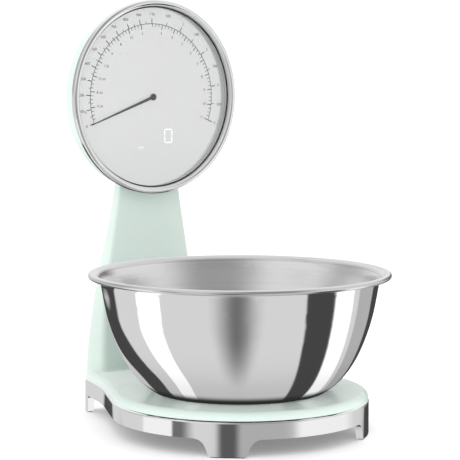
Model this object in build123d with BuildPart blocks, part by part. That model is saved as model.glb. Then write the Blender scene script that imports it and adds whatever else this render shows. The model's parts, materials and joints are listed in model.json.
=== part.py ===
from build123d import *
import math
import os

# Kitchen scale with a round upright dial and a lift-off mixing bowl.
# Millimetres, +Z up, front towards -Y. The origin is on the table, under the middle of the whole.

os.makedirs("parts", exist_ok=True)

# ---------------------------------------------------------------- driving dimensions
depth = 282.0               # front of the bowl's lip to the back of the base
bowl_lip_r = 127.0
bowl_y = bowl_lip_r - depth / 2          # the bowl's axis, also the centre of the base's front arc
rear_y = depth / 2

rim_r = 108.5               # front arc of the base, in plan
arc_end = 25.0              # degrees behind the bowl's axis where the front arc ends
flank_length = 46.0         # straight run from the arc to the waist
waist_r = 190.0             # the waist curves the other way
waist_turn = 11.0
rear_corner_r = 7.0

pad_h = 0.8                 # rubber under each foot
pad_inset = 1.0
pad_edge_r = 0.3
band_low = 14.8             # underside of the bright band, top of the arches
band_high = 28.4
band_wall = 3.0
band_edge_r = 1.2
foot_depth = 6.0
ledge_w = 10.0              # the base plate lies on this ledge
ledge_top = 17.0
front_foot_angle = 41.5     # degrees off the front, about the bowl's axis
front_foot_half = 7.8       # half the foot's width at the floor, in degrees
foot_lean = 22.0            # the foot's flanks lean out by this angle, then sweep into the band
foot_sweep_r = 10.5
side_arch_low = -66.0
side_arch_high = 129.5
side_arch_r = 2.0
rear_arch_x = 51.0
rear_arch_r = 8.0

plate_screw_pairs = [(94.4, -52.4), (70.5, 78.0), (37.0, 135.5)]     # each mirrored in x
plate_screws = [(0, -116.0)] + [(side * x, y) for x, y in plate_screw_pairs for side in (-1, 1)]
plate_screw_r = 1.5
thread_play = 0.05          # a screw's shank is this much smaller than its hole

plate_h = 2.5               # base plate, lies on the frame's ledge
plate_top = ledge_top + plate_h

shell_low = 29.6            # lower edge of the coloured body, over a narrow shadow gap
seat_z = 36.0               # top of the platform
shell_wall = 2.4
shell_inset = 0.5
platform_edge_r = 6.0
ceiling_z = seat_z - shell_wall

column_front = 122.0
column_foot_back = 139.5
column_back_lean = 8.5 / 165.0
column_foot_z = 30.0
column_foot_r = 3.0
cover_low_z = 41.0          # the rear cover starts above the platform's rear edge
# height, half width at the front, half width at the back, corner radius
column_stations = (
    (30.0, 49.0, 58.8, 7.0),
    (65.0, 49.3, 57.3, 6.0),
    (100.0, 46.9, 52.2, 4.5),
    (140.0, 41.3, 43.7, 3.0),
    (212.0, 29.9, 31.0, 2.5),
)

dial_z = 278.3
bezel_r = 85.3
bezel_in_r = 80.0
bezel_ledge_r = 79.0        # the lens sits against this ledge
bezel_bead_r = (bezel_r - bezel_in_r) / 2
bezel_front = 108.0
bezel_back = 113.3
housing_r = 82.8
housing_front = 113.5
housing_back = 130.0
housing_edge_r = 5.0
cup_r = housing_r - shell_wall
opening_r = 76.5
face_front = 117.0
face_t = 1.5
face_r = 80.0
face_bore = 1.9
cover_t = 2.2
cover_screw_r = 71.5        # pitch radius of the four screws round the dial
cover_thread_r = 1.25
cover_inner = housing_back - cover_t
lens_front = 111.4
lens_t = 1.5
lens_r = 79.7
gasket_t = 0.4
gasket_in_r = 78.6

zero_angle = -110.0         # degrees clockwise from twelve o'clock
pointer_length = 69.0
hand_y = 114.6
hand_t = 0.7
hand_half_w = (1.35, 0.42)  # at the hub and near the tip
hand_ring_r = 3.0
hub_r = 2.1
hub_front = 113.5
hub_l = 2.9
shaft_r = 1.0
shaft_bore = 1.05
shaft_front = 113.9
motor_back = 127.4

figure = (17.0, -35.0)      # middle of the lit numeral, from the dial's axis
figure_w = 8.8
figure_h = 12.8
bar_w = 1.15
unit_mark = (-12.0, -44.5)
print_t = 0.12

cell_bar = (62.0, 14.0, 8.0)             # load cell
spacer_h = 2.0
cell_low = plate_top + spacer_h
cell_top = cell_low + cell_bar[2]
cell_end = (17.0, cell_bar[1])           # clamped patch at each end
cell_end_x = cell_bar[0] / 2 - cell_end[0] / 2
cell_screw_pitch = 9.0
cell_screw_r = 2.0
bracket_low = cell_top + spacer_h
bracket_t = ceiling_z - bracket_low - 0.1
bracket_size = (130.0, 64.0)
bracket_screw = (112.0, 46.0)

aaa_r = 5.25                # three AAA cells
aaa_l = 44.5
aaa_pitch = 11.3
battery_y = 82.0
battery_z = 23.0
box_in = (54.0, 35.0)
box_wall = 1.6
box_flange = (66.0, 44.0)
box_top = 30.2
box_low = 14.7
door_size = (60.6, 42.0)
door_t = 1.8
door_top = 14.5

button_x = 16.0
button_drop = 42.0
button_r = 6.5
button_proud = 1.2
board_front = 121.3
board_t = 1.6
board_back = board_front + board_t
board_size = (90.0, 96.0)
board_drop = 12.0
board_screw = (80.0, 84.0)

bowl_floor = seat_z + 0.05
bowl_t = 0.7
bowl_heel_r = 3.0
# radius and height along the outside of the wall, from the heel to the flare under the lip
bowl_wall = (
    (72.5, bowl_floor),
    (84.5, 45.3),
    (96.0, 60.3),
    (105.3, 80.2),
    (111.5, 100.1),
    (115.4, 120.0),
    (117.0, 128.0),
    (119.0, 132.4),
    (122.0, 134.4),
)
wall_steps = 16             # points that carry the wall's inner curve
lip_w = 6.4
lip_h = 4.4
lip_t = 0.7
lip_mid_r = 123.8
lip_mid_z = 133.2


# ---------------------------------------------------------------- helpers
def dial_plane(y):
    """Upright plane facing the user, centred on the dial's axis at depth y."""
    return Plane(origin=(0, y, dial_z), x_dir=(1, 0, 0), z_dir=(0, -1, 0))


def back_plane(y, z):
    """Upright plane facing rearwards, with its origin on the middle plane."""
    return Plane(origin=(0, y, z), x_dir=(-1, 0, 0), z_dir=(0, 1, 0))


def column_back(z):
    """Depth of the column's back face at height z."""
    return column_foot_back - (z - column_foot_z) * column_back_lean


def base_plan(inset):
    """Plan of the base: round front, waisted sides, straight back, drawn in by inset."""
    with BuildSketch() as plan:
        with BuildLine():
            front = CenterArc((0, bowl_y), rim_r, -90, 90 + arc_end)
            flank = Line(front @ 1, front @ 1 + front % 1 * flank_length)
            waist = JernArc(flank @ 1, flank % 1, waist_r, -waist_turn)
            to_rear = (rear_y - (waist @ 1).Y) / (waist % 1).Y
            hip = Line(waist @ 1, waist @ 1 + waist % 1 * to_rear)
            Line(hip @ 1, (0, rear_y))
            mirror(about=Plane.YZ)
        make_face()
        fillet(plan.vertices().group_by(Axis.Y)[-1].filter_by(lambda v: abs(v.X) > 1), radius=rear_corner_r)
        if inset:
            offset(amount=-inset)
    return plan.sketch


def column_section(station, inset, back_extra):
    """One level cut through the column, drawn in by inset and carried past the back face."""
    z, front, back, corner = station
    y0 = column_front + inset
    y1 = column_back(z) + back_extra
    lean = (back - front) / (column_back(z) - column_front)
    half = [front + lean * (y - column_front) - inset for y in (y0, y1)]
    with BuildSketch(Plane.XY.offset(z)) as section:
        with BuildLine():
            Polyline(
                (-half[0], y0), (half[0], y0), (half[1], y1), (-half[1], y1), close=True
            )
        make_face()
        fillet(section.vertices().group_by(Axis.Y)[0], radius=max(corner - inset, 0.8))
        if not back_extra:
            fillet(section.vertices().group_by(Axis.Y)[-1], radius=2.0)
    return section.sketch


def front_foot_flanks():
    """Cutters that shape both flanks of the right front foot, square to the base's round front."""
    cutters = []
    lean = math.radians(foot_lean)
    sweep_z = band_low - foot_sweep_r * (1 - math.sin(lean))
    sweep_x = sweep_z * math.tan(lean)
    sweep_end = sweep_x + foot_sweep_r * math.cos(lean)
    for edge, side in ((front_foot_angle - front_foot_half, -1), (front_foot_angle + front_foot_half, 1)):
        a = math.radians(edge)
        flank_plane = Plane(
            origin=(0, bowl_y, 0), x_dir=(math.cos(a), math.sin(a), 0), z_dir=(math.sin(a), -math.cos(a), 0)
        )
        with BuildPart() as cutter:
            with BuildSketch(flank_plane.offset(rim_r - 25)):
                with BuildLine():
                    Polyline((0, -5), (0, 0), (side * sweep_x, sweep_z))
                    RadiusArc((side * sweep_x, sweep_z), (side * sweep_end, band_low), side * foot_sweep_r)
                    Polyline((side * sweep_end, band_low), (side * 30, band_low), (side * 30, -5), (0, -5))
                make_face()
            extrude(amount=40)
        cutters.append(cutter.part)
    return cutters


def screw(plane, head_r, head_h, shank_r, shank_l):
    """Pan-head screw: head on the plane, shank running back from it."""
    with BuildPart(plane) as one:
        Cylinder(head_r, head_h, align=(Align.CENTER, Align.CENTER, Align.MIN))
        fillet(one.edges().sort_by(lambda e: (e.center() - plane.origin).dot(plane.z_dir))[-1],
               radius=head_h * 0.5)
        Cylinder(shank_r, shank_l, align=(Align.CENTER, Align.CENTER, Align.MAX))
        with BuildSketch(plane.offset(head_h)):
            RectangleRounded(head_r * 1.1, 0.5, 0.2)
            RectangleRounded(0.5, head_r * 1.1, 0.2)
        extrude(amount=-head_h * 0.5, mode=Mode.SUBTRACT)
    return one.part


def write(name, node):
    """Label one finished piece and write it."""
    node.label = name
    export_step(node, f"parts/{name}.step")


# ---------------------------------------------------------------- base frame: band, ledge and feet
with BuildPart() as base_frame:
    # band
    with BuildSketch(Plane.XY.offset(band_low)):
        add(base_plan(0))
    extrude(amount=band_high - band_low)
    fillet(base_frame.faces().sort_by(Axis.Z)[-1].edges(), radius=band_edge_r)
    with BuildSketch(Plane.XY.offset(band_low)):
        add(base_plan(band_wall))
    extrude(amount=band_high - band_low, mode=Mode.SUBTRACT)
    # ledge for the base plate
    with BuildSketch(Plane.XY.offset(band_low)):
        add(base_plan(0))
        add(base_plan(ledge_w), mode=Mode.SUBTRACT)
    extrude(amount=ledge_top - band_low)
    # skirt that the arches cut into feet
    with BuildSketch(Plane.XY.offset(pad_h)):
        add(base_plan(0))
        add(base_plan(foot_depth), mode=Mode.SUBTRACT)
    extrude(amount=band_low - pad_h)
    # arches between the feet
    arch_h = band_low + 5.0
    with BuildSketch(Plane.XZ):
        with Locations((0, band_low)):
            Rectangle(100, arch_h, align=(Align.CENTER, Align.MAX))
    extrude(amount=140, mode=Mode.SUBTRACT)
    with BuildSketch(back_plane(100, 0)) as rear_arch:
        with Locations((0, band_low)):
            Rectangle(2 * rear_arch_x, arch_h, align=(Align.CENTER, Align.MAX))
        fillet(rear_arch.vertices().group_by(Axis.Y)[-1], radius=rear_arch_r)
    extrude(amount=50, mode=Mode.SUBTRACT)
    with BuildSketch(Plane.YZ) as side_arch:
        with Locations((side_arch_low, band_low)):
            Rectangle(side_arch_high - side_arch_low, arch_h, align=(Align.MIN, Align.MAX))
        fillet(side_arch.vertices().group_by(Axis.Y)[-1].sort_by(Axis.X)[-1], radius=side_arch_r)
    extrude(amount=120, both=True, mode=Mode.SUBTRACT)
    for cutter in front_foot_flanks():
        add(cutter, mode=Mode.SUBTRACT)
        add(mirror(cutter, about=Plane.YZ), mode=Mode.SUBTRACT)
    # screw holes up through the ledge
    with Locations(*[(x, y, band_low) for x, y in plate_screws]):
        Cylinder(plate_screw_r, 10, mode=Mode.SUBTRACT)
write("base_frame", base_frame.part)



# rubber pads, let a little way in from each foot's edge
def foot_pad(region):
    """Rubber pad under one foot: the foot's footprint within region, drawn in."""
    with BuildPart() as pad:
        with BuildSketch():
            add(base_plan(pad_inset))
            add(base_plan(foot_depth - pad_inset), mode=Mode.SUBTRACT)
            add(region, mode=Mode.INTERSECT)
        extrude(amount=pad_h)
        fillet(pad.faces().sort_by(Axis.Z)[0].edges(), radius=pad_edge_r)
    return pad.part


with BuildSketch() as front_region:
    sector = front_foot_half - math.degrees(pad_inset / rim_r)
    with BuildLine():
        swing = CenterArc((0, bowl_y), rim_r + 10, -90 + front_foot_angle - sector, 2 * sector)
        Line(swing @ 1, (0, bowl_y))
        Line((0, bowl_y), swing @ 0)
    make_face()
with BuildSketch() as rear_region:
    with Locations((rear_arch_x + pad_inset, side_arch_high + pad_inset)):
        Rectangle(40, 40, align=Align.MIN)
for place, region in (("front", front_region.sketch), ("rear", rear_region.sketch)):
    right_pad = foot_pad(region)
    left_pad = mirror(right_pad, about=Plane.YZ)
    write(f"foot_pad_{place}_right", right_pad)
    write(f"foot_pad_{place}_left", left_pad)

# base plate, lies on the ledge and carries the load cell, the batteries and the amplifier
with BuildPart() as base_plate:
    with BuildSketch(Plane.XY.offset(ledge_top)):
        add(base_plan(band_wall + 0.3))
        with Locations((0, battery_y)):
            Rectangle(box_in[0] + 2 * box_wall + 0.4, box_in[1] + 2 * box_wall + 0.4, mode=Mode.SUBTRACT)
        with Locations(*plate_screws):
            Circle(plate_screw_r, mode=Mode.SUBTRACT)
        with Locations((cell_end_x, bowl_y)):
            with GridLocations(cell_screw_pitch, 0, 2, 1):
                Circle(cell_screw_r + 0.1, mode=Mode.SUBTRACT)
    extrude(amount=plate_h)
    # stiffening ribs on either side of the load cell
    with BuildSketch(Plane.XY.offset(plate_top)):
        with Locations((0, bowl_y)):
            with GridLocations(0, 52, 1, 2):
                Rectangle(150, 2.0)
            with GridLocations(170, 0, 2, 1):
                Rectangle(2.0, 90)
    extrude(amount=5.0)
write("base_plate", base_plate.part)

with BuildPart() as base_screws:
    for x, y in plate_screws:
        under_ledge = Plane(origin=(x, y, band_low), x_dir=(1, 0, 0), z_dir=(0, 0, -1))
        add(screw(under_ledge, 2.6, 1.6, plate_screw_r - thread_play, 6.0))
write("base_screws", base_screws.part)

# ---------------------------------------------------------------- load cell and its spacers
with BuildPart() as load_cell:
    with Locations((0, bowl_y, cell_low + cell_bar[2] / 2)):
        Box(*cell_bar)
    fillet(load_cell.edges().filter_by(Axis.Z), radius=0.6)
    # two round cut-outs joined by a slot thin the bar where it bends
    with BuildSketch(Plane.XZ.offset(-bowl_y)):
        with Locations((0, cell_low + cell_bar[2] / 2)):
            with GridLocations(12, 0, 2, 1):
                Circle(2.9)
            Rectangle(12, 1.6)
    extrude(amount=cell_bar[1], both=True, mode=Mode.SUBTRACT)
    for side, z in ((1, cell_low), (-1, cell_top)):
        with Locations((side * cell_end_x, bowl_y, z)):
            with GridLocations(cell_screw_pitch, 0, 2, 1):
                Cylinder(cell_screw_r, 12, mode=Mode.SUBTRACT)
write("load_cell", load_cell.part)


def cell_spacer(x, z):
    """Shim between one end of the load cell and the plate it is bolted to."""
    with BuildPart() as shim:
        with BuildSketch(Plane.XY.offset(z)):
            with Locations((x, bowl_y)):
                Rectangle(*cell_end)
                with GridLocations(cell_screw_pitch, 0, 2, 1):
                    Circle(cell_screw_r + 0.1, mode=Mode.SUBTRACT)
        extrude(amount=spacer_h)
    return shim.part


write("cell_spacer_lower", cell_spacer(cell_end_x, plate_top))
write("cell_spacer_upper", cell_spacer(-cell_end_x, cell_top))

with BuildPart() as cell_screws_lower:
    for dx in (-cell_screw_pitch / 2, cell_screw_pitch / 2):
        under_plate = Plane(origin=(cell_end_x + dx, bowl_y, ledge_top), x_dir=(1, 0, 0), z_dir=(0, 0, -1))
        add(screw(under_plate, 3.2, 1.8, cell_screw_r - thread_play, 10.0))
write("cell_screws_lower", cell_screws_lower.part)

with BuildPart() as cell_screws_upper:
    for dx in (-cell_screw_pitch / 2, cell_screw_pitch / 2):
        shank_top = (-cell_end_x + dx, bowl_y, bracket_low + bracket_t)
        shank = Plane(origin=shank_top, x_dir=(1, 0, 0), z_dir=(0, 0, 1))
        with BuildSketch(shank):
            Circle(cell_screw_r - thread_play)
        extrude(amount=-(bracket_t + spacer_h + 5.0))
write("cell_screws_upper", cell_screws_upper.part)

# cross plate that hangs the coloured body on the free end of the load cell
with BuildPart() as weighing_bracket:
    with BuildSketch(Plane.XY.offset(bracket_low)):
        with Locations((0, bowl_y)):
            RectangleRounded(*bracket_size, 6)
            with GridLocations(*bracket_screw, 2, 2):
                Circle(1.6, mode=Mode.SUBTRACT)
            with GridLocations(48, 0, 2, 1):
                SlotOverall(40, 24, rotation=90, mode=Mode.SUBTRACT)
        with Locations((-cell_end_x, bowl_y)):
            Rectangle(cell_end[0] + 4, cell_end[1] + 10)
            with GridLocations(cell_screw_pitch, 0, 2, 1):
                Circle(cell_screw_r, mode=Mode.SUBTRACT)
    extrude(amount=bracket_t)
write("weighing_bracket", weighing_bracket.part)

with BuildPart() as bracket_screws:
    for sx in (-1, 1):
        for sy in (-1, 1):
            x = sx * bracket_screw[0] / 2
            y = bowl_y + sy * bracket_screw[1] / 2
            under_bracket = Plane(origin=(x, y, bracket_low), x_dir=(1, 0, 0), z_dir=(0, 0, -1))
            add(screw(under_bracket, 2.6, 1.4, 1.45, bracket_t + 1.4))
write("bracket_screws", bracket_screws.part)

# ---------------------------------------------------------------- batteries, under the base
with BuildPart() as battery_box:
    outer = (box_in[0] + 2 * box_wall, box_in[1] + 2 * box_wall)
    with BuildSketch(Plane.XY.offset(box_low)):
        with Locations((0, battery_y)):
            Rectangle(*outer)
    extrude(amount=box_top - box_low)
    with BuildSketch(Plane.XY.offset(box_low)):
        with Locations((0, battery_y)):
            Rectangle(*box_flange)
    extrude(amount=ledge_top - box_low)
    fillet(battery_box.edges().filter_by(Axis.Z), radius=1.0)
    with BuildSketch(Plane.XY.offset(box_low)):
        with Locations((0, battery_y)):
            Rectangle(*box_in)
    extrude(amount=box_top - box_wall - box_low, mode=Mode.SUBTRACT)
    # rails that the door slides in
    for side in (-1, 1):
        web_x = side * (door_size[0] / 2 + 1.2)
        with BuildSketch(Plane.XY.offset(box_low)):
            with Locations((web_x, battery_y)):
                Rectangle(1.8, box_flange[1])
        extrude(amount=-3.6)
        with BuildSketch(Plane.XY.offset(box_low - 3.6)):
            with Locations((web_x - side * 1.1, battery_y)):
                Rectangle(4.0, box_flange[1])
        extrude(amount=1.2)
write("battery_box", battery_box.part)

for n in (1, 2, 3):
    y = battery_y + (n - 2) * aaa_pitch
    turn = 1 if n % 2 else -1           # neighbouring cells face opposite ways
    with BuildPart() as battery:
        with BuildSketch(Plane(origin=(-turn * aaa_l / 2, y, battery_z), z_dir=(turn, 0, 0))):
            Circle(aaa_r)
        extrude(amount=aaa_l - 1.0)
        fillet(battery.edges(), radius=0.5)
        with BuildSketch(Plane(origin=(turn * (aaa_l / 2 - 1.0), y, battery_z), z_dir=(turn, 0, 0))):
            Circle(1.9)
        extrude(amount=1.0)
    write(f"battery_{n}", battery.part)

contact_gap = (box_in[0] - aaa_l) / 2
with BuildPart() as battery_springs:
    for n in (1, 2, 3):
        y = battery_y + (n - 2) * aaa_pitch
        turn = 1 if n % 2 else -1
        # stacked rings stand for the coil's turns, joined by the wire at one side
        for k in range(3):
            ring = Plane(origin=(-turn * (aaa_l / 2 + 0.1 + 1.4 * k), y, battery_z), z_dir=(-turn, 0, 0))
            with BuildSketch(ring):
                Circle(2.4 + 0.5 * k)
                Circle(1.4 + 0.5 * k, mode=Mode.SUBTRACT)
            extrude(amount=0.9)
        with BuildSketch(Plane(origin=(-turn * (aaa_l / 2 + 0.1), y + 2.2, battery_z), z_dir=(-turn, 0, 0))):
            Circle(0.45)
        extrude(amount=contact_gap - 0.6)
write("battery_springs", battery_springs.part)

with BuildPart() as battery_contacts:
    for side in (-1, 1):
        for n in (1, 2, 3):
            x = side * (box_in[0] / 2 - 0.25)
            with Locations((x, battery_y + (n - 2) * aaa_pitch, battery_z)):
                Box(0.4, 9.6, 9.6)
write("battery_contacts", battery_contacts.part)

with BuildPart() as battery_door:
    with BuildSketch(Plane.XY.offset(door_top)):
        with Locations((0, battery_y)):
            RectangleRounded(*door_size, 2)
    extrude(amount=-door_t)
    # thumb grip: three shallow grooves near the rear edge
    with BuildSketch(Plane.XY.offset(door_top - door_t)):
        with Locations((0, battery_y + door_size[1] / 2 - 8)):
            with GridLocations(0, 3.2, 1, 3):
                SlotOverall(22, 1.4)
    extrude(amount=0.6, mode=Mode.SUBTRACT)
write("battery_door", battery_door.part)

# amplifier board for the load cell
with BuildPart() as amplifier_board:
    with Locations((58, bowl_y, plate_top + 2.0)):
        Box(38, 30, 1.6)
        with GridLocations(32, 24, 2, 2):
            Cylinder(1.3, 4, mode=Mode.SUBTRACT)
    with Locations((54, bowl_y, plate_top + 3.4)):
        Box(9, 9, 1.4)
    with Locations((66, bowl_y + 6, plate_top + 3.8)):
        Box(6, 8, 2.2)
write("amplifier_board", amplifier_board.part)

with BuildPart() as amplifier_posts:
    with Locations((58, bowl_y, plate_top)):
        with GridLocations(32, 24, 2, 2):
            Cylinder(2.4, 1.2, align=(Align.CENTER, Align.CENTER, Align.MIN))
            Cylinder(1.2, 3.6, align=(Align.CENTER, Align.CENTER, Align.MIN))
write("amplifier_posts", amplifier_posts.part)


# ---------------------------------------------------------------- coloured body
def column_loft(inset, back_extra):
    """The column as one solid, drawn in by inset and carried past its back face."""
    with BuildPart() as solid:
        for station in column_stations:
            add(column_section(station, inset, back_extra))
        loft()
    return solid.part


def housing_drum():
    """The round housing of the dial, solid, with its rear edge rounded."""
    with BuildPart() as drum:
        with BuildSketch(dial_plane(housing_front)):
            Circle(housing_r)
        extrude(amount=housing_front - housing_back)
        fillet(drum.edges().sort_by(Axis.Y)[-1], radius=housing_edge_r)
    return drum.part


with BuildPart() as column_hollow:
    add(column_loft(shell_wall, 12.0))
    sill_back = column_back(cover_low_z) - shell_wall
    with Locations((0, sill_back, 0)):
        Box(160, 40, cover_low_z, align=(Align.CENTER, Align.MIN, Align.MIN), mode=Mode.SUBTRACT)

cover_screw_x = cover_screw_r * math.cos(math.radians(45))
cover_screws = [(sx * cover_screw_x, sz * cover_screw_x) for sx in (-1, 1) for sz in (-1, 1)]
foot_screws = [(-36.0, 62.0), (36.0, 62.0)]

with BuildPart() as body_shell:
    # platform
    with BuildSketch(Plane.XY.offset(shell_low)):
        add(base_plan(shell_inset))
    extrude(amount=seat_z - shell_low)
    fillet(body_shell.faces().sort_by(Axis.Z)[-1].edges(), radius=platform_edge_r)
    # column and the round housing of the dial
    add(column_loft(0, 0))
    level_edges = body_shell.edges().filter_by_position(Axis.Z, seat_z - 0.1, seat_z + 0.1)
    foot_edge = level_edges.filter_by_position(Axis.Y, column_front - 0.1, column_front + 0.1)
    fillet(foot_edge, radius=column_foot_r)
    add(housing_drum())
    # hollow of the platform
    with BuildSketch(Plane.XY.offset(shell_low)):
        add(base_plan(shell_inset + shell_wall))
    extrude(amount=ceiling_z - shell_low, mode=Mode.SUBTRACT)
    # hollow of the column, open to the rear above the platform's edge
    add(column_hollow.part, mode=Mode.SUBTRACT)
    # hollow of the housing: a cup open to the front, with a smaller opening at the back
    with BuildSketch(dial_plane(housing_front)):
        Circle(cup_r)
    extrude(amount=housing_front - cover_inner, mode=Mode.SUBTRACT)
    with BuildSketch(dial_plane(housing_front)):
        Circle(opening_r)
    extrude(amount=housing_front - housing_back - 1, mode=Mode.SUBTRACT)
    # inner ledge that the dial face lies on, with the bosses for the rear cover
    with BuildSketch(dial_plane(face_front + face_t)):
        Circle(cup_r + 0.5)
        Circle(cover_screw_r - 3.0, mode=Mode.SUBTRACT)
    extrude(amount=-2.0)
    with BuildSketch(dial_plane(face_front + face_t)):
        with Locations(*cover_screws):
            Circle(3.6)
    extrude(amount=face_front + face_t - cover_inner + 0.1)
    with BuildSketch(dial_plane(cover_inner)):
        with Locations(*cover_screws):
            Circle(cover_thread_r)
    extrude(amount=7.0, mode=Mode.SUBTRACT)
    # bosses inside the column
    for x, z in foot_screws:
        boss = back_plane(column_front + shell_wall - 0.5, z)
        with BuildSketch(boss):
            with Locations((-x, 0)):
                Circle(3.6)
        extrude(amount=column_back(z) - cover_t - 0.5 - boss.origin.Y)
        with BuildSketch(boss.offset(2.0)):
            with Locations((-x, 0)):
                Circle(cover_thread_r)
        extrude(amount=20, mode=Mode.SUBTRACT)
    # blind holes for the bracket's screws
    with Locations((0, bowl_y, ceiling_z)):
        with GridLocations(*bracket_screw, 2, 2):
            Cylinder(1.5, 3.2, mode=Mode.SUBTRACT)
write("body_shell", body_shell.part)

# ---------------------------------------------------------------- rear cover, inset in the body
with BuildPart() as rear_cover:
    # strip down the back of the column
    add(column_loft(shell_wall + 0.2, 12.0))
    low_z = cover_low_z + 0.2
    high_z = dial_z - opening_r + 6.0
    with BuildSketch(Plane.YZ):
        with BuildLine():
            Polyline(
                (column_back(low_z) - cover_t, low_z),
                (column_back(low_z), low_z),
                (column_back(high_z), high_z),
                (column_back(high_z) - cover_t, high_z),
                close=True,
            )
        make_face()
    extrude(amount=80, both=True, mode=Mode.INTERSECT)
    # disc behind the dial
    with BuildSketch(dial_plane(cover_inner)):
        Circle(opening_r - 0.2)
    extrude(amount=-cover_t)
    for x, z in cover_screws:
        with BuildSketch(dial_plane(cover_inner - 1)):
            with Locations((x, z)):
                Circle(cover_thread_r + 0.3)
        extrude(amount=-cover_t - 2, mode=Mode.SUBTRACT)
        with BuildSketch(dial_plane(housing_back - 1.4)):
            with Locations((x, z)):
                Circle(3.1)
        extrude(amount=-4, mode=Mode.SUBTRACT)
    for x, z in foot_screws:
        with BuildSketch(back_plane(column_back(z) - 6, z)):
            with Locations((-x, 0)):
                Circle(cover_thread_r + 0.3)
        extrude(amount=12, mode=Mode.SUBTRACT)
    # openings for the two buttons
    with BuildSketch(dial_plane(cover_inner - 1)):
        with Locations((-button_x, -button_drop), (button_x, -button_drop)):
            Circle(button_r + 0.3)
    extrude(amount=-cover_t - 2, mode=Mode.SUBTRACT)
    # shallow panel for a rating label
    with BuildSketch(back_plane(housing_back, dial_z + 30)):
        RectangleRounded(46, 22, 3)
    extrude(amount=-0.4, mode=Mode.SUBTRACT)
write("rear_cover", rear_cover.part)

with BuildPart() as rear_cover_screws:
    for x, z in cover_screws:
        head_seat = Plane(origin=(x, housing_back - 1.4, dial_z + z), x_dir=(-1, 0, 0), z_dir=(0, 1, 0))
        add(screw(head_seat, 2.7, 1.2, cover_thread_r - 0.03, 7.0))
    for x, z in foot_screws:
        head_seat = Plane(origin=(x, column_back(z) + 0.2, z), x_dir=(-1, 0, 0), z_dir=(0, 1, 0))
        add(screw(head_seat, 2.7, 1.4, cover_thread_r - 0.03, 7.0))
write("rear_cover_screws", rear_cover_screws.part)

# ---------------------------------------------------------------- dial
with BuildPart() as bezel_ring:
    with BuildSketch(Plane.YZ):
        with BuildLine():
            # section through the top of the ring: half-round front, spigot inside the housing
            bead_y = bezel_front + bezel_bead_r
            ThreePointArc(
                (bead_y, dial_z + bezel_r),
                (bezel_front, dial_z + bezel_r - bezel_bead_r),
                (bead_y, dial_z + bezel_r - 2 * bezel_bead_r),
            )
            Polyline(
                (bead_y, dial_z + bezel_r - 2 * bezel_bead_r),
                (lens_front + lens_t + gasket_t, dial_z + lens_r + 0.15),
                (lens_front + lens_t + gasket_t, dial_z + bezel_ledge_r),
                (face_front - 0.1, dial_z + bezel_ledge_r),
                (face_front - 0.1, dial_z + cup_r - 0.15),
                (bezel_back, dial_z + cup_r - 0.15),
                (bezel_back, dial_z + bezel_r),
                (bead_y, dial_z + bezel_r),
            )
        make_face()
    revolve(axis=Axis((0, 0, dial_z), (0, 1, 0)))
write("bezel_ring", bezel_ring.part)


def disc(r, y, thickness, bore=0.0):
    """Flat disc or ring on the dial's axis, its front at depth y."""
    with BuildPart() as plate:
        with BuildSketch(dial_plane(y)):
            Circle(r)
            if bore:
                Circle(bore, mode=Mode.SUBTRACT)
        extrude(amount=-thickness)
    return plate.part


write("dial_lens", disc(lens_r, lens_front, lens_t))
write("lens_gasket", disc(lens_r, lens_front + lens_t, gasket_t, gasket_in_r))
write("dial_face", disc(face_r, face_front, face_t, face_bore))

# lit numeral: six bars of a seven-bar figure, standing for a reading of nought
with BuildPart() as display_figure:
    with BuildSketch(dial_plane(face_front)):
        with Locations(figure):
            half_w = (figure_w - bar_w) / 2
            half_h = (figure_h - bar_w) / 2
            for side in (-1, 1):
                with Locations((0, side * half_h)):
                    SlotOverall(figure_w - 1.9, bar_w)
                for level in (-1, 1):
                    with Locations((side * half_w, level * half_h / 2)):
                        SlotOverall(half_h - 0.55, bar_w, rotation=90)
    extrude(amount=print_t)
write("display_figure", display_figure.part)

# small lit marks that show the unit in use
with BuildPart() as display_unit_mark:
    with BuildSketch(dial_plane(face_front)):
        with Locations(unit_mark):
            with GridLocations(2.2, 0, 3, 1):
                RectangleRounded(1.3, 1.5, 0.3)
    extrude(amount=print_t)
write("display_unit_mark", display_unit_mark.part)

# light module and circuit board behind the face
with BuildPart() as display_module:
    with BuildSketch(dial_plane(face_front + face_t + 0.2)):
        with Locations((5, figure[1] - 1)):
            RectangleRounded(52, 24, 1)
    extrude(amount=-(board_front - face_front - face_t - 0.2))
write("display_module", display_module.part)

with BuildPart() as display_board:
    with BuildSketch(dial_plane(board_front)):
        with Locations((0, -board_drop)):
            RectangleRounded(*board_size, 8)
        Circle(2 * shaft_r, mode=Mode.SUBTRACT)
        with Locations((0, -board_drop)):
            with GridLocations(*board_screw, 2, 2):
                Circle(1.1, mode=Mode.SUBTRACT)
    extrude(amount=-board_t)
    # controller and two capacitors on the rear face
    with BuildSketch(dial_plane(board_back)):
        with Locations((-30, 18)):
            Rectangle(12, 12)
        with Locations((28, 20), (36, 8)):
            Circle(3.2)
    extrude(amount=-1.8)
write("display_board", display_board.part)

with BuildPart() as display_board_screws:
    for sx in (-1, 1):
        for sz in (-1, 1):
            x = sx * board_screw[0] / 2
            z = dial_z - board_drop + sz * board_screw[1] / 2
            seat = Plane(origin=(x, board_back, z), x_dir=(-1, 0, 0), z_dir=(0, 1, 0))
            add(screw(seat, 2.2, 1.2, 1.0, 1.0))
write("display_board_screws", display_board_screws.part)

# stepper motor that turns the pointer
with BuildPart() as motor_case:
    with BuildSketch(dial_plane(board_back)):
        RectangleRounded(30, 26, 3)
        with Locations((0, -17)):
            RectangleRounded(18, 8, 1)
        Circle(shaft_bore, mode=Mode.SUBTRACT)
    extrude(amount=-(motor_back - board_back))
write("motor_case", motor_case.part)

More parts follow.
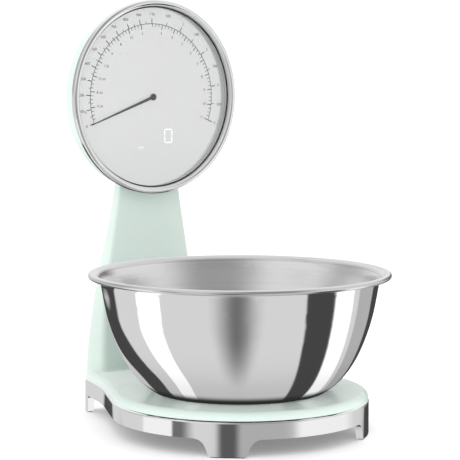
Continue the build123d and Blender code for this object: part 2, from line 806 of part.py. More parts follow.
with BuildPart() as tact_switches:
    with BuildSketch(dial_plane(board_back)):
        with Locations((-button_x, -button_drop), (button_x, -button_drop)):
            Rectangle(6, 6)
    extrude(amount=-1.6)
    with BuildSketch(dial_plane(board_back + 1.6)):
        with Locations((-button_x, -button_drop), (button_x, -button_drop)):
            Circle(1.6)
    extrude(amount=-0.6)
write("tact_switches", tact_switches.part)

# ---------------------------------------------------------------- pointer, resting on the scale's nought
with BuildPart() as pointer_shaft:
    with BuildSketch(dial_plane(shaft_front)):
        Circle(shaft_r)
    extrude(amount=-(motor_back - 0.6 - shaft_front))
write("pointer_shaft", pointer_shaft.part)

with BuildPart() as pointer_hub:
    with BuildSketch(dial_plane(hub_front)):
        Circle(hub_r)
    extrude(amount=-hub_l)
    fillet(pointer_hub.edges().sort_by(Axis.Y)[0], radius=0.5)
    with BuildSketch(dial_plane(shaft_front)):
        Circle(shaft_r)
    extrude(amount=-hub_l, mode=Mode.SUBTRACT)
write("pointer_hub", pointer_hub.part)

rest = math.radians(zero_angle)
hand_plane = Plane(origin=(0, hand_y, dial_z), x_dir=(math.sin(rest), 0, math.cos(rest)), z_dir=(0, -1, 0))
with BuildPart() as pointer_hand:
    with BuildSketch(hand_plane):
        with BuildLine():
            root, tip = hand_half_w
            taper = pointer_length - 1
            Polyline((0, root), (taper, tip), (pointer_length, 0), (taper, -tip), (0, -root), close=True)
        make_face()
        Circle(hand_ring_r)
        Circle(hub_r + 0.05, mode=Mode.SUBTRACT)
    extrude(amount=-hand_t)
write("pointer_hand", pointer_hand.part)

# ---------------------------------------------------------------- buttons on the rear cover
flange_y = cover_inner - 0.2
for name, x in (("tare_button", button_x), ("unit_button", -button_x)):
    with BuildPart() as button:
        with BuildSketch(dial_plane(flange_y)):
            with Locations((x, -button_drop)):
                Circle(button_r + 1.4)
        extrude(amount=1.2)
        with BuildSketch(dial_plane(flange_y)):
            with Locations((x, -button_drop)):
                Circle(button_r)
        extrude(amount=-(housing_back + button_proud - flange_y))
        fillet(button.edges().sort_by(Axis.Y)[-1], radius=0.8)
        with BuildSketch(dial_plane(flange_y - 1.2)):
            with Locations((x, -button_drop)):
                Circle(2.0)
        extrude(amount=flange_y - 1.2 - (board_back + 2.2 + 1.1))
    write(name, button.part)

# ---------------------------------------------------------------- bowl
with BuildPart() as bowl:
    with BuildSketch(Plane.XZ.offset(-bowl_y)) as profile:
        # wall: outer and inner curves the sheet's thickness apart
        with BuildLine():
            outer = Spline(*bowl_wall)
            inner = Spline(
                *[
                    outer @ (k / wall_steps) + (outer % (k / wall_steps)).rotate(Axis.Z, 90) * bowl_t
                    for k in range(wall_steps + 1)
                ]
            )
            Line(outer @ 0, inner @ 0)
            Line(outer @ 1, inner @ 1)
        make_face()
        heel_in = bowl_wall[0][0] - bowl_heel_r
        with Locations((0, bowl_floor)):
            Rectangle(bowl_wall[0][0] - 0.1, bowl_t, align=Align.MIN)
        with BuildLine():
            Polyline((heel_in, bowl_floor), outer @ 0, inner @ 0, (heel_in, bowl_floor + bowl_t), close=True)
        make_face()
        heel = profile.vertices().sort_by_distance(outer @ 0)[0]
        fillet(heel, radius=bowl_heel_r)
    revolve(axis=Axis((0, bowl_y, 0), (0, 0, 1)))
    # rolled lip: a flattened tube outside the flare, its seam open underneath
    with BuildSketch(Plane.XZ.offset(-bowl_y)):
        with Locations((lip_mid_r, lip_mid_z)):
            SlotOverall(lip_w, lip_h)
            SlotOverall(lip_w - 2 * lip_t, lip_h - 2 * lip_t, mode=Mode.SUBTRACT)
        with Locations((lip_mid_r - lip_w / 4, lip_mid_z - lip_h / 2)):
            Rectangle(1.0, 2 * lip_t, mode=Mode.SUBTRACT)
    revolve(axis=Axis((0, bowl_y, 0), (0, 0, 1)))
write("bowl", bowl.part)
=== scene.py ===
"""Looks of the kitchen scale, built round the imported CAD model. Metres, +Z up, front towards -Y."""

import json
import math

import bmesh
import bpy
from mathutils import Matrix, Vector


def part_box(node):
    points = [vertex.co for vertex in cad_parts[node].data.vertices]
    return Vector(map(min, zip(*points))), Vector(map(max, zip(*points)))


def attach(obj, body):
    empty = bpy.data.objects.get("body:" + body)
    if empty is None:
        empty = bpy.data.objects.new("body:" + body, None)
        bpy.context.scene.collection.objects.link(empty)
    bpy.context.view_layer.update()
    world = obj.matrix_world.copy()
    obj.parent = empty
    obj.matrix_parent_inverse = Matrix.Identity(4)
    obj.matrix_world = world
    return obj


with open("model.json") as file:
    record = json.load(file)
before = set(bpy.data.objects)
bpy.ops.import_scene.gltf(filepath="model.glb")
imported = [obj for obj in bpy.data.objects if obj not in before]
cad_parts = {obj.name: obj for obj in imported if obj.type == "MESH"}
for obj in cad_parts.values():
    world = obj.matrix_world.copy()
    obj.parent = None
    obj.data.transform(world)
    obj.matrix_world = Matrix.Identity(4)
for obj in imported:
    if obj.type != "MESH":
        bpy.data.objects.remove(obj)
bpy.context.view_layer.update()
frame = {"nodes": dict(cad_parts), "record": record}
nodes = frame["nodes"]
MM = 0.001

# ---------------------------------------------------------------- places, from the frame
bezel_low, bezel_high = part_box("bezel_ring")
face_low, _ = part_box("dial_face")
bowl_low, bowl_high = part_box("bowl")
dial_z = (bezel_low.z + bezel_high.z) / 2
dial_centre = Vector((0, 0, dial_z))
face_y = face_low.y
bowl_axis = Vector(((bowl_low.x + bowl_high.x) / 2, (bowl_low.y + bowl_high.y) / 2, 0))

# ---------------------------------------------------------------- viewpoint
VIEW_AZIMUTH = math.radians(-36.07)
VIEW_ELEVATION = math.radians(5.66)
VIEW_DISTANCE = 1.6
VIEW_TARGET = Vector((0, 0, 0.1692))
VIEW_LENS = 148.76
VIEW_BACK = Vector(
    (
        math.sin(VIEW_AZIMUTH) * math.cos(VIEW_ELEVATION),
        -math.cos(VIEW_AZIMUTH) * math.cos(VIEW_ELEVATION),
        math.sin(VIEW_ELEVATION),
    )
)
STUDIO_RIGHT = Vector((math.cos(VIEW_AZIMUTH), math.sin(VIEW_AZIMUTH), 0))
STUDIO_FRONT = Vector((math.sin(VIEW_AZIMUTH), -math.cos(VIEW_AZIMUTH), 0))


# ---------------------------------------------------------------- node-graph helpers
def linear(value):
    """One display value, 0 to 255, as linear light."""
    c = value / 255
    return c / 12.92 if c <= 0.04045 else ((c + 0.055) / 1.055) ** 2.4


def rgb(r, g, b):
    """A display colour, 0 to 255, as a linear RGBA tuple."""
    return (linear(r), linear(g), linear(b), 1)


def grey(value):
    """A neutral display tone as a linear RGBA tuple."""
    return rgb(value, value, value)


class Graph:
    """Short names for the nodes of one material or world."""

    def __init__(self, tree):
        self.tree = tree
        tree.nodes.clear()

    def node(self, kind, inputs=None, **settings):
        made = self.tree.nodes.new(kind)
        for key, value in settings.items():
            setattr(made, key, value)
        for key, value in (inputs or {}).items():
            self.feed(made.inputs[key], value)
        return made

    def feed(self, socket, value):
        if isinstance(value, bpy.types.NodeSocket):
            self.tree.links.new(value, socket)
        else:
            socket.default_value = value

    def math(self, operation, a, b=0.0, clamp=False):
        return self.node("ShaderNodeMath", {0: a, 1: b}, operation=operation, use_clamp=clamp).outputs[0]

    def vector(self, operation, a, b=(0, 0, 0)):
        made = self.node("ShaderNodeVectorMath", {0: a, 1: b}, operation=operation)
        return made.outputs["Value" if operation in ("DOT_PRODUCT", "LENGTH") else "Vector"]

    def smooth(self, value, low, high, to_low=0.0, to_high=1.0):
        inputs = {"Value": value, "From Min": low, "From Max": high, "To Min": to_low, "To Max": to_high}
        return self.node("ShaderNodeMapRange", inputs, interpolation_type="SMOOTHSTEP").outputs["Result"]

    def mix(self, factor, a, b, blend="MIX"):
        made = self.node("ShaderNodeMix", data_type="RGBA", blend_type=blend)
        self.feed(made.inputs[0], factor)
        self.feed(made.inputs[6], a)
        self.feed(made.inputs[7], b)
        return made.outputs[2]

    def noise(self, scale, detail=2.0, stretch=(1, 1, 1), roughness=0.5):
        """Noise over the part's own coordinates, in metres."""
        place = self.node("ShaderNodeTexCoord").outputs["Object"]
        scaled = self.vector("MULTIPLY", place, stretch)
        inputs = {"Vector": scaled, "Scale": scale, "Detail": detail, "Roughness": roughness}
        return self.node("ShaderNodeTexNoise", inputs).outputs["Fac"]

    def bump(self, height, distance, strength=1.0):
        inputs = {"Height": height, "Distance": distance, "Strength": strength}
        return self.node("ShaderNodeBump", inputs).outputs["Normal"]

    def shader(self, **sockets):
        """Principled shader; sockets by name with underscores for spaces."""
        inputs = {key.replace("_", " "): value for key, value in sockets.items()}
        return self.node("ShaderNodeBsdfPrincipled", inputs).outputs["BSDF"]

    def output(self, shader, kind="ShaderNodeOutputMaterial"):
        self.node(kind, {"Surface": shader})


def material(name):
    """A new material and its graph."""
    made = bpy.data.materials.new(name)
    made.use_nodes = True
    return made, Graph(made.node_tree)


# ---------------------------------------------------------------- materials
INNER_WALL_R = 81.0 * MM     # the ring's painted inner wall lies inside this radius
LIP_H = 4.3 * MM             # height of the bowl's rolled lip
BAND_FROM = 12 * MM          # a cell's coloured band starts this far from its middle


def mint_enamel():
    """Glossy pastel enamel: faint mottling and orange peel under a clear coat."""
    made, g = material("mint_enamel")
    mottle = g.smooth(g.noise(9.0, 3.0), 0.3, 0.7)
    colour = g.mix(mottle, rgb(222, 238, 230), rgb(226, 241, 233))
    rough = g.smooth(g.noise(60.0, 4.0), 0.2, 0.8, 0.20, 0.28)
    peel = g.bump(g.noise(900.0, 2.0), 0.00002, 0.35)
    g.output(
        g.shader(Base_Color=colour, Roughness=rough, Normal=peel, Coat_Weight=0.06, Coat_Roughness=0.08,
                 Specular_IOR_Level=0.25)
    )
    return made


def polished_metal(name, tone, rough_low, rough_high):
    """Polished metal with faint cloudy wear in its roughness and a hint of fine polish marks."""
    made, g = material(name)
    cloud = g.noise(35.0, 4.0)
    rough = g.smooth(cloud, 0.3, 0.7, rough_low, rough_high)
    colour = g.mix(g.smooth(g.noise(12.0, 2.0), 0.3, 0.7), tone, tuple(c * 0.97 for c in tone[:3]) + (1,))
    marks = g.bump(g.noise(1500.0, 2.0, (1, 1, 0.12)), 0.000004, 0.4)
    g.output(g.shader(Base_Color=colour, Metallic=1.0, Roughness=rough, Normal=marks))
    return made


def ring_metal():
    """Dial ring: polished outside, with a satin painted wall between its front edge and the lens."""
    made, g = material("bright_ring")
    place = g.vector("SUBTRACT", g.node("ShaderNodeTexCoord").outputs["Object"], tuple(dial_centre))
    radius = g.vector("LENGTH", g.vector("MULTIPLY", place, (1, 0, 1)))
    inner = g.math("LESS_THAN", radius, INNER_WALL_R)
    cloud = g.smooth(g.noise(35.0, 4.0), 0.3, 0.7)
    polished = g.shader(Base_Color=g.mix(cloud, rgb(248, 248, 248), rgb(243, 243, 243)), Metallic=1.0,
                        Roughness=g.smooth(cloud, 0.0, 1.0, 0.06, 0.10),
                        Normal=g.bump(g.noise(1500.0, 2.0, (1, 1, 0.12)), 0.000004, 0.4))
    painted = g.shader(Base_Color=g.mix(cloud, rgb(206, 207, 208), rgb(212, 213, 214)), Roughness=0.45,
                       Normal=g.bump(g.noise(900.0, 3.0), 0.00001, 0.3))
    g.output(g.node("ShaderNodeMixShader", {0: inner, 1: polished, 2: painted}).outputs[0])
    return made


def spun_steel():
    """Bowl steel: mirror outside, satin with fine rings inside and on the lip."""
    made, g = material("spun_steel")
    own_place = g.node("ShaderNodeTexCoord").outputs["Object"]
    geometry = g.node("ShaderNodeNewGeometry")
    place = g.vector("SUBTRACT", own_place, tuple(bowl_axis))
    normal = geometry.outputs["True Normal"]
    plan_place = g.vector("MULTIPLY", place, (1, 1, 0))
    outward = g.vector("DOT_PRODUCT", plan_place, g.vector("MULTIPLY", normal, (1, 1, 0)))
    height = g.node("ShaderNodeSeparateXYZ", {0: own_place}).outputs["Z"]
    below_lip = g.math("LESS_THAN", height, bowl_high.z - LIP_H)
    outside = g.math("MULTIPLY", g.math("GREATER_THAN", outward, 0.0), below_lip)
    # rings left by spinning: noise that depends on the radius and height alone
    radius = g.vector("LENGTH", plan_place)
    along = g.math("ADD", radius, height)
    ring_place = g.node("ShaderNodeCombineXYZ", {"X": along}).outputs[0]
    fine = {"Vector": ring_place, "Scale": 2600.0, "Detail": 3.0}
    rings = g.node("ShaderNodeTexNoise", fine).outputs["Fac"]
    coarse = {"Vector": ring_place, "Scale": 260.0, "Detail": 2.0}
    broad = g.node("ShaderNodeTexNoise", coarse).outputs["Fac"]
    satin = g.smooth(rings, 0.25, 0.75, 0.17, 0.25)
    mirror = g.smooth(g.noise(30.0, 4.0), 0.3, 0.7, 0.035, 0.06)
    rough = g.node("ShaderNodeMix", data_type="FLOAT")
    g.feed(rough.inputs[0], outside)
    g.feed(rough.inputs[2], satin)
    g.feed(rough.inputs[3], mirror)
    inner = g.mix(g.smooth(broad, 0.3, 0.7), rgb(243, 243, 243), rgb(247, 247, 247))
    inner = g.mix(g.math("GREATER_THAN", height, bowl_high.z - LIP_H), inner, rgb(226, 226, 226))
    colour = g.mix(outside, inner, rgb(246, 246, 246))
    depth = g.math("MULTIPLY", rings, g.math("SUBTRACT", 1.0, outside))
    g.output(
        g.shader(Base_Color=colour, Metallic=1.0, Roughness=rough.outputs[0],
                 Normal=g.bump(depth, 0.000008, 0.6))
    )
    return made


def dial_plate():
    """Dial face: silver ink on a satin mirror, with the finest grain."""
    made, g = material("dial_plate")
    grain = g.noise(2600.0, 2.0)
    tone = g.mix(g.smooth(g.noise(8.0, 2.0), 0.3, 0.7), rgb(236, 236, 236), rgb(240, 240, 240))
    rough = g.smooth(grain, 0.2, 0.8, 0.10, 0.16)
    g.output(
        g.shader(Base_Color=tone, Metallic=0.55, Roughness=rough, Normal=g.bump(grain, 0.000003, 0.3),
                 Specular_IOR_Level=0.5)
    )
    return made


def clear_lens():
    """Clear cover: passes light, with a weak reflection and a faint haze of fine dust."""
    made, g = material("clear_lens")
    fresnel = g.node("ShaderNodeFresnel", {"IOR": 1.35}).outputs[0]
    dust = g.smooth(g.noise(140.0, 5.0), 0.72, 0.9, 0.0, 0.02)
    factor = g.math("ADD", g.math("MULTIPLY", fresnel, 0.5), dust, clamp=True)
    clear = g.node("ShaderNodeBsdfTransparent", {"Color": (0.995, 0.998, 0.997, 1)}).outputs[0]
    gloss = g.node("ShaderNodeBsdfGlossy", {"Roughness": 0.03}).outputs[0]
    g.output(g.node("ShaderNodeMixShader", {0: factor, 1: clear, 2: gloss}).outputs[0])
    return made


def moulded(name, low, high, rough, grain=700.0, depth=0.00003, coat=0.0):
    """Moulded plastic or rubber: fine spark-eroded grain, slight tone and gloss variation."""
    made, g = material(name)
    texture = g.noise(grain, 3.0)
    colour = g.mix(g.smooth(g.noise(25.0, 3.0), 0.3, 0.7), low, high)
    roughness = g.smooth(texture, 0.2, 0.8, rough - 0.06, rough + 0.06)
    g.output(
        g.shader(Base_Color=colour, Roughness=roughness, Normal=g.bump(texture, depth, 0.5), Coat_Weight=coat,
                 Coat_Roughness=0.1)
    )
    return made


def brushed(name, low, high, rough, stretch=(1, 1, 1), scale=500.0):
    """Plain metal with drawn or rolled grain along one direction."""
    made, g = material(name)
    streaks = g.noise(scale, 3.0, stretch)
    colour = g.mix(g.smooth(streaks, 0.25, 0.75), low, high)
    roughness = g.smooth(streaks, 0.2, 0.8, rough - 0.07, rough + 0.07)
    g.output(
        g.shader(Base_Color=colour, Metallic=1.0, Roughness=roughness, Normal=g.bump(streaks, 0.00001, 0.5))
    )
    return made


def circuit_board():
    """Solder-masked board with copper tracks showing darker and lighter under the green."""
    made, g = material("circuit_board")
    place = g.node("ShaderNodeTexCoord").outputs["Object"]
    tracks = g.node("ShaderNodeTexBrick", {"Vector": place, "Scale": 260.0,
                                           "Mortar Size": 0.06}).outputs["Fac"]
    colour = g.mix(tracks, rgb(20, 92, 52), rgb(30, 120, 70))
    relief = g.bump(tracks, 0.00003, 0.6)
    g.output(g.shader(Base_Color=colour, Roughness=0.35, Normal=relief, Coat_Weight=0.3))
    return made


def battery_skin(name_of_skin):
    """Printed sleeve: dark with a copper-coloured band at the positive end."""
    made, g = material(name_of_skin)
    place = g.node("ShaderNodeTexCoord").outputs["Object"]
    along = g.node("ShaderNodeSeparateXYZ", {0: place}).outputs["X"]
    positive = g.math("MULTIPLY", along, 1.0 if name_of_skin == "battery_skin" else -1.0)
    band = g.math("GREATER_THAN", positive, BAND_FROM)
    colour = g.mix(band, rgb(34, 36, 40), rgb(186, 122, 66))
    rough = g.smooth(g.noise(80.0, 3.0), 0.3, 0.7, 0.25, 0.35)
    g.output(g.shader(Base_Color=colour, Roughness=rough, Coat_Weight=0.4))
    return made


def lit_white():
    """White light through the dial, a little uneven in brightness."""
    made, g = material("lit_white")
    glow = g.smooth(g.noise(300.0, 2.0), 0.2, 0.8, 0.9, 1.0)
    colour = g.node("ShaderNodeCombineColor", {0: glow, 1: glow, 2: glow}).outputs[0]
    g.output(
        g.shader(Base_Color=colour, Roughness=0.5, Emission_Color=(1, 1, 1, 1), Emission_Strength=0.35)
    )
    return made


def printed_ink():
    """Grey scale ink, slightly uneven as silk-screened ink is."""
    made, g = material("printed_ink")
    colour = g.mix(g.smooth(g.noise(500.0, 3.0), 0.3, 0.7), rgb(62, 63, 65), rgb(74, 75, 77))
    g.output(g.shader(Base_Color=colour, Roughness=0.55, Normal=g.bump(g.noise(1500.0), 0.00001, 0.3)))
    return made


ink = printed_ink()
looks = {
    "mint": mint_enamel(),
    "bright": polished_metal("bright_frame", rgb(250, 250, 250), 0.05, 0.09),
    "ring": ring_metal(),
    "bowl": spun_steel(),
    "dial": dial_plate(),
    "lens": clear_lens(),
    "pointer": brushed("pointer_steel", rgb(88, 88, 90), rgb(104, 104, 106), 0.24, (1, 1, 1), 900.0),
    "button": moulded("button_plastic", rgb(206, 222, 213), rgb(212, 227, 219), 0.32, 900.0, 0.00002, 0.3),
    "rubber": moulded("rubber", rgb(34, 34, 35), rgb(44, 44, 45), 0.72, 600.0, 0.00005),
    "dark": moulded("dark_plastic", rgb(40, 41, 43), rgb(48, 49, 51), 0.5, 700.0, 0.00004),
    "black": moulded("display_black", rgb(16, 16, 17), rgb(24, 24, 25), 0.3, 900.0, 0.00001, 0.2),
    "screw": brushed("screw_steel", rgb(170, 171, 172), rgb(196, 197, 198), 0.32, (1, 1, 1), 1200.0),
    "sheet": brushed("sheet_steel", rgb(176, 178, 180), rgb(200, 202, 203), 0.36, (0.1, 1, 1), 500.0),
    "spring": brushed("spring_steel", rgb(196, 196, 190), rgb(214, 214, 208), 0.25, (1, 1, 1), 900.0),
    "aluminium": brushed("bar_aluminium", rgb(206, 208, 210), rgb(222, 224, 226), 0.34, (0.08, 1, 1), 700.0),
    "board": circuit_board(),
    "battery": battery_skin("battery_skin"),
    "battery_turned": battery_skin("battery_skin_turned"),
    "lit": lit_white(),
}
SEEN_IN_MIRRORS = ("bowl", "pointer", "bezel_ring")
look_of_slot = {
    "mint_body": "mint",
    "bright_frame": "bright",
    "bright_ring": "ring",
    "bowl_steel": "bowl",
    "dial_plate": "dial",
    "clear_lens": "lens",
    "pointer_steel": "pointer",
    "button_plastic": "button",
    "rubber": "rubber",
    "dark_plastic": "dark",
    "display_black": "black",
    "screw_steel": "screw",
    "sheet_steel": "sheet",
    "spring_steel": "spring",
    "bar_aluminium": "aluminium",
    "circuit_board": "board",
    "battery_skin": "battery",
    "lit_white": "lit",
}
for subpart in frame["record"]["subparts"]:
    cad_object = nodes[subpart["node"]]
    cad_object.data.materials.clear()
    look = look_of_slot[subpart["material_slot"]]
    if subpart["node"] == "battery_2":
        look = "battery_turned"
    cad_object.data.materials.append(looks[look])


# ---------------------------------------------------------------- printed scale
SCALE_R = 64.4 * MM          # the line that both sets of marks spring from
PRINT_Y = face_y - 0.02 * MM
PRINT_T = 0.03 * MM
LINE_W = 0.50 * MM
THIN_W = 0.50 * MM
THICK_W = 0.72 * MM
LONG_MARK = 4.4 * MM
INNER_SHORT = 2.7 * MM
START = -110.0
MIDDLE = 0.0
END = 110.0
KG_FINE = (MIDDLE - START) / 1.0         # degrees per kilogram up to 1 kg
KG_COARSE = (END - MIDDLE) / 4.0         # degrees per kilogram from 1 kg to 5 kg
LB = 0.45359237


def angle_of(kg):
    """Degrees clockwise from twelve o'clock at which the dial shows a mass."""
    return START + kg * KG_FINE if kg <= 1.0 else MIDDLE + (kg - 1.0) * KG_COARSE


def on_dial(radius, degrees, y=PRINT_Y):
    """Point on the dial at a radius and an angle clockwise from twelve o'clock."""
    a = math.radians(degrees)
    return Vector((radius * math.sin(a), y, dial_z + radius * math.cos(a)))


def prism(bm, outline):
    """Thin closed solid from a flat outline lying on the dial."""
    front = [bm.verts.new(p - Vector((0, PRINT_T, 0))) for p in outline]
    back = [bm.verts.new(p) for p in outline]
    bm.faces.new(front)
    bm.faces.new(back[::-1])
    for i in range(len(outline)):
        j = (i + 1) % len(outline)
        bm.faces.new((front[i], back[i], back[j], front[j]))


def mark(bm, degrees, inner, outer, width):
    """One radial mark."""
    a = math.radians(degrees)
    side = Vector((math.cos(a), 0, -math.sin(a))) * (width / 2)
    near, far = on_dial(inner, degrees), on_dial(outer, degrees)
    prism(bm, [near - side, far - side, far + side, near + side])


def scale_line(bm, width, steps):
    """The circular line under the marks, in short closed pieces that meet end to end."""
    for k in range(steps):
        a0 = START + (END - START) * k / steps
        a1 = START + (END - START) * (k + 1) / steps
        lo, hi = SCALE_R - width / 2, SCALE_R + width / 2
        prism(bm, [on_dial(lo, a0), on_dial(hi, a0), on_dial(hi, a1), on_dial(lo, a1)])


def finish_piece(name, bm, look, body):
    """Turn a bmesh into a named piece that rides on a body."""
    bmesh.ops.recalc_face_normals(bm, faces=bm.faces)
    mesh = bpy.data.meshes.new(name)
    bm.to_mesh(mesh)
    bm.free()
    piece = bpy.data.objects.new(name, mesh)
    bpy.context.scene.collection.objects.link(piece)
    mesh.materials.append(look)
    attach(piece, body)
    return piece


def printed_marks():
    """Both scales' marks: grams and kilograms outside the line, ounces and pounds inside."""
    bm = bmesh.new()
    scale_line(bm, LINE_W, 110)
    for step in range(21):                        # every 50 g up to 1 kg
        kg = step * 0.05
        if step % 2 == 0:
            mark(bm, angle_of(kg), SCALE_R, SCALE_R + LONG_MARK, THICK_W)
        else:
            mark(bm, angle_of(kg), SCALE_R, SCALE_R + 2.2 * MM, THIN_W)
    for step in range(1, 9):                      # every 500 g above it
        long_mark = step % 2 == 0
        length = (4.6 if long_mark else 3.0) * MM
        mark(bm, angle_of(1.0 + step * 0.5), SCALE_R, SCALE_R + length, THICK_W if long_mark else THIN_W)
    # inside the line: every ounce up to 2 lb, then every quarter pound
    inner = [(ounce * LB / 16, ounce % 4 == 0) for ounce in range(1, 33)]
    inner += [(step * LB / 4, step % 4 == 0) for step in range(9, 45)]
    for kg, long_mark in inner:
        length = LONG_MARK if long_mark else INNER_SHORT
        mark(bm, angle_of(kg), SCALE_R, SCALE_R - length, THICK_W if long_mark else THIN_W)
    return finish_piece("dial_marks", bm, ink, "weighed_body")


def add_text(bm, text, centre, height):
    """Upright characters centred on a point of the dial."""
    curve = bpy.data.curves.new("numeral", "FONT")
    curve.body = text
    curve.align_x, curve.align_y = "CENTER", "CENTER"
    curve.size = height / 0.72
    curve.extrude = PRINT_T / 2
    curve.resolution_u = 3
    source = bpy.data.objects.new("numeral", curve)
    mesh = bpy.data.meshes.new_from_object(source)
    stand_up = Matrix.Translation(centre) @ Matrix.Rotation(math.radians(90), 4, "X")
    mesh.transform(stand_up)
    bm.from_mesh(mesh)
    bpy.data.meshes.remove(mesh)
    bpy.data.objects.remove(source)
    bpy.data.curves.remove(curve)


def printed_numerals():
    """Numbers of both scales, upright, with their units on the first few."""
    bm = bmesh.new()
    outer_r, inner_r = 72.3 * MM, 56.6 * MM
    height = 2.5 * MM
    front = PRINT_Y - PRINT_T / 2
    labels = [(0.0, "0"), (0.1, "100 g")]
    labels += [(h / 10, str(h * 100)) for h in range(2, 10)] + [(1.0, "1 kg")]
    labels += [(1.0 + k * 0.5, "500" if k % 2 else str(1 + k // 2)) for k in range(1, 9)]
    for kg, text in labels:
        add_text(bm, text, on_dial(outer_r + 0.9 * MM * (len(text) > 2), angle_of(kg), front), height)
    inner = [(4, "4 oz"), (8, "8 oz"), (12, "12 oz"), (16, "1 lb")]
    inner += [(20, "4"), (24, "8"), (28, "12"), (32, "2")]
    inner += [(16 * pounds, str(pounds)) for pounds in range(3, 12)]
    for ounces, text in inner:
        shift = 1.6 * MM * (len(text) > 2)
        add_text(bm, text, on_dial(inner_r - shift, angle_of(ounces * LB / 16), front), height)
    return finish_piece("dial_numerals", bm, ink, "weighed_body")


printed_marks()
printed_numerals()


# ---------------------------------------------------------------- studio
SOFTBOX = 276                # brighter than paper white, so that it stays white in polished metal
FLAG = 70


def studio_world():
    """Plain white light, and for mirrors a room with a few softboxes and flags, set for the viewpoint."""
    world = bpy.data.worlds.new("studio")
    bpy.context.scene.world = world
    world.use_nodes = True
    g = Graph(world.node_tree)
    direction = g.node("ShaderNodeTexCoord").outputs["Generated"]
    half = g.vector("NORMALIZE", g.vector("ADD", direction, tuple(VIEW_BACK)))
    across = g.vector("DOT_PRODUCT", half, tuple(STUDIO_RIGHT))
    ahead = g.vector("DOT_PRODUCT", half, tuple(STUDIO_FRONT))
    up = g.vector("DOT_PRODUCT", half, (0, 0, 1))
    flat = g.math("SQRT", g.math("ADD", g.math("MULTIPLY", across, across), g.math("MULTIPLY", ahead, ahead)))
    side = g.math("DIVIDE", across, g.math("MAXIMUM", flat, 0.001))
    # on the left the panels crowd together towards the floor
    low = g.smooth(up, -0.26, -0.68)
    left = g.math("LESS_THAN", side, 0.0)
    spread = g.math("ADD", 1.0, g.math("MULTIPLY", g.math("MULTIPLY", low, left), 0.27))
    place = g.math("MULTIPLY", side, spread)

    def panels(tone, placed):
        """A grey wall with soft-edged panels on it: (centre, half width, edge, tone)."""
        look = grey(tone)
        for centre, half, edge, panel_tone in placed:
            away = g.math("ABSOLUTE", g.math("SUBTRACT", place, centre))
            look = g.mix(g.smooth(away, half, half + edge, 1.0, 0.0), look, grey(panel_tone))
        return look

    # what upward-narrowing sides mirror: two strip softboxes, black flags beside them
    wall = panels(
        218,
        (
            (-1.0, 0.10, 0.02, FLAG),
            (-0.65, 0.08, 0.01, SOFTBOX),
            (0.57, 0.09, 0.02, FLAG),
            (0.74, 0.06, 0.01, SOFTBOX),
            (0.90, 0.05, 0.01, 180),
            (1.0, 0.05, 0.01, FLAG),
        ),
    )
    # what upright sides mirror: broader boxes, and the dark gap beside the camera
    upright = panels(
        215,
        (
            (0.15, 0.15, 0.25, 175),
            (-0.09, 0.04, 0.07, 90),
            (-0.48, 0.03, 0.12, 110),
            (-0.62, 0.10, 0.02, 245),
            (0.63, 0.15, 0.10, 245),
            (1.0, 0.03, 0.02, 120),
        ),
    )
    # what the inside of the bowl mirrors: the same room, out of focus
    raised = panels(
        225,
        (
            (-0.78, 0.02, 0.20, 180),
            (0.18, 0.10, 0.35, 150),
            (1.0, 0.03, 0.08, 110),
        ),
    )
    # dark gap behind the camera, a wedge that closes towards the floor
    off_centre = g.math("ABSOLUTE", g.math("ADD", side, 0.025))
    wedge_w = g.smooth(up, -0.66, -0.20, 0.12, 0.22)
    depth = g.smooth(up, -0.68, -0.28, 0.02, 0.78)
    wedge = g.math("MULTIPLY", g.smooth(g.math("DIVIDE", off_centre, wedge_w), 0.0, 1.0, 1.0, 0.0), depth)
    wall = g.mix(wedge, wall, grey(35))
    # the wall dims a little towards the floor
    wall = g.mix(g.smooth(up, -0.33, -0.75, 0.0, 0.24), wall, grey(60))
    # the band's flank, seen at a slant, belongs with the upright faces
    slant = g.math("ADD", up, g.smooth(side, -0.90, -0.96, 0.0, 0.09))
    pattern = g.mix(g.smooth(slant, -0.17, -0.11), wall, upright)
    pattern = g.mix(g.smooth(up, -0.74, -0.84), pattern, grey(45))
    pattern = g.mix(g.smooth(up, 0.05, 0.16), pattern, raised)
    pattern = g.mix(g.smooth(up, 0.55, 0.85), pattern, grey(245))
    path = g.node("ShaderNodeLightPath")
    light = g.mix(path.outputs["Is Glossy Ray"], (1.04, 1.04, 1.04, 1), pattern)
    light = g.mix(path.outputs["Is Camera Ray"], light, (1.1, 1.1, 1.1, 1))
    background = g.node("ShaderNodeBackground", {"Color": light, "Strength": 1.0}).outputs[0]
    g.output(background, "ShaderNodeOutputWorld")


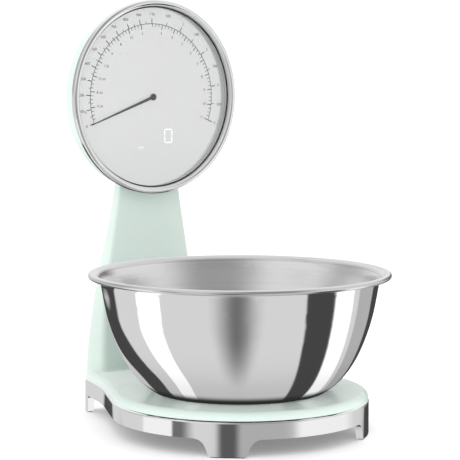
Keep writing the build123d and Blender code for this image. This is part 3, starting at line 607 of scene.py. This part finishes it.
def area_light(name, place, aim, size, power, spread=180):
    """Square softbox at a place, aimed at a point."""
    lamp = bpy.data.lights.new(name, "AREA")
    lamp.size = size
    lamp.energy = power
    lamp.spread = math.radians(spread)
    made = bpy.data.objects.new(name, lamp)
    made.location = place
    made.rotation_mode = "QUATERNION"
    made.rotation_quaternion = (Vector(aim) - Vector(place)).to_track_quat("-Z", "Y")
    made.visible_glossy = False
    bpy.context.scene.collection.objects.link(made)


def floor():
    """Plain white floor, left out of mirrors as a retouched studio floor is."""
    half = 40.0
    bm = bmesh.new()
    bmesh.ops.create_grid(bm, x_segments=1, y_segments=1, size=half)
    mesh = bpy.data.meshes.new("floor")
    bm.to_mesh(mesh)
    bm.free()
    made = bpy.data.objects.new("floor", mesh)
    bpy.context.scene.collection.objects.link(made)
    paint, g = material("floor_white")
    tone = g.mix(g.noise(3.0, 2.0), rgb(246, 246, 246), rgb(248, 248, 248))
    diffuse = g.node("ShaderNodeBsdfDiffuse", {"Color": tone}).outputs[0]
    lift = g.node("ShaderNodeEmission", {"Color": tone, "Strength": 0.22}).outputs[0]
    g.output(g.node("ShaderNodeAddShader", {0: diffuse, 1: lift}).outputs[0])
    mesh.materials.append(paint)
    made.visible_glossy = False


def camera():
    """Camera at the viewing angle, no depth of field."""
    lens = bpy.data.cameras.new("camera")
    lens.sensor_width = 36
    lens.lens = VIEW_LENS
    made = bpy.data.objects.new("camera", lens)
    made.location = VIEW_TARGET + VIEW_BACK * VIEW_DISTANCE
    made.rotation_mode = "QUATERNION"
    made.rotation_quaternion = (-VIEW_BACK).to_track_quat("-Z", "Y")
    bpy.context.scene.collection.objects.link(made)
    bpy.context.scene.camera = made


studio_world()
floor()
camera()
area_light("key", (-1.5, -1.3, 1.6), (0, 0, 0.15), 1.2, 5)
area_light("top", (0.3, 0.2, 2.0), (0, 0, 0), 1.6, 8)
# the stand and its inner parts stay out of the bowl's mirror
for name, cad_object in nodes.items():
    cad_object.visible_glossy = name in SEEN_IN_MIRRORS
bpy.context.scene.view_settings.view_transform = "Standard"
